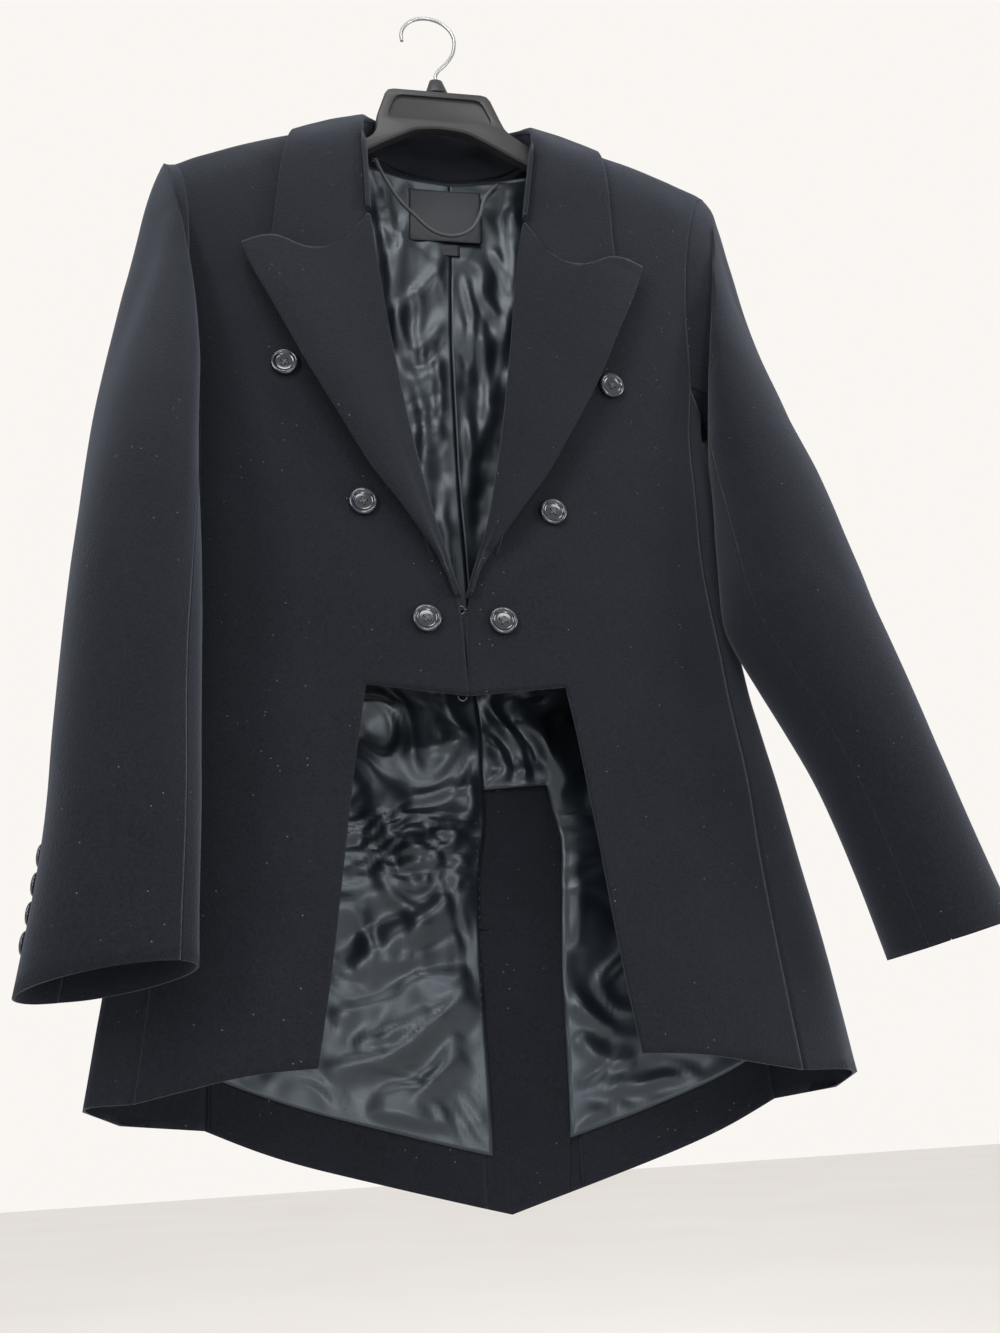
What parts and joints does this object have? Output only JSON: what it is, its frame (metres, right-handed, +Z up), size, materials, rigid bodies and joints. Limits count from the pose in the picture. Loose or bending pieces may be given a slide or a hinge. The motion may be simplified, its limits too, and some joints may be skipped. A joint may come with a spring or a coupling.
{
  "type": "tailcoat blazer on a hanger",
  "caption": "Peak-lapel tailcoat blazer with a cutaway waist, edge-to-edge fronts and decorative buttons, hanging on a plastic hanger.",
  "frame": {"origin": "highest point inside the bend of the hanger's wire hook, where it rests on what carries it", "axes": "+Z up, along the hanging coat; +Y to the back of the coat; +X to the right as seen from in front"},
  "size_m": [0.6232, 0.176, 0.9593],
  "materials": {
    "wool_cloth": "matte",
    "lining_satin": "satin",
    "button_plastic": "gloss",
    "hanger_plastic": "satin",
    "steel_wire": "satin",
    "loop_cord": "matte"
  },
  "bodies": {
    "root": {"front_right": "wool_cloth", "side_panel_right": "wool_cloth", "back_right": "wool_cloth", "top_sleeve_right": "wool_cloth", "under_sleeve_right": "wool_cloth", "lapel_right": "wool_cloth", "hem_facing_right": "wool_cloth", "lining_right": "lining_satin", "front_button_right_1": "button_plastic", "front_button_right_2": "button_plastic", "front_button_right_3": "button_plastic", "cuff_button_right_1": "button_plastic", "cuff_button_right_2": "button_plastic", "cuff_button_right_3": "button_plastic", "cuff_button_right_4": "button_plastic", "front_left": "wool_cloth", "side_panel_left": "wool_cloth", "back_left": "wool_cloth", "top_sleeve_left": "wool_cloth", "under_sleeve_left": "wool_cloth", "lapel_left": "wool_cloth", "hem_facing_left": "wool_cloth", "lining_left": "lining_satin", "front_button_left_1": "button_plastic", "front_button_left_2": "button_plastic", "front_button_left_3": "button_plastic", "cuff_button_left_1": "button_plastic", "cuff_button_left_2": "button_plastic", "cuff_button_left_3": "button_plastic", "cuff_button_left_4": "button_plastic", "collar": "wool_cloth", "collar_stand": "wool_cloth", "vent_facing_right": "wool_cloth", "vent_facing_left": "wool_cloth", "neck_label": "lining_satin", "size_label": "lining_satin", "closure_hook": "steel_wire", "closure_eye": "steel_wire", "waist_eye": "steel_wire", "hanger_body": "hanger_plastic", "hanger_boss": "hanger_plastic", "hanger_hook": "steel_wire", "hanging_loop": "loop_cord"}
  },
  "joints": []
}
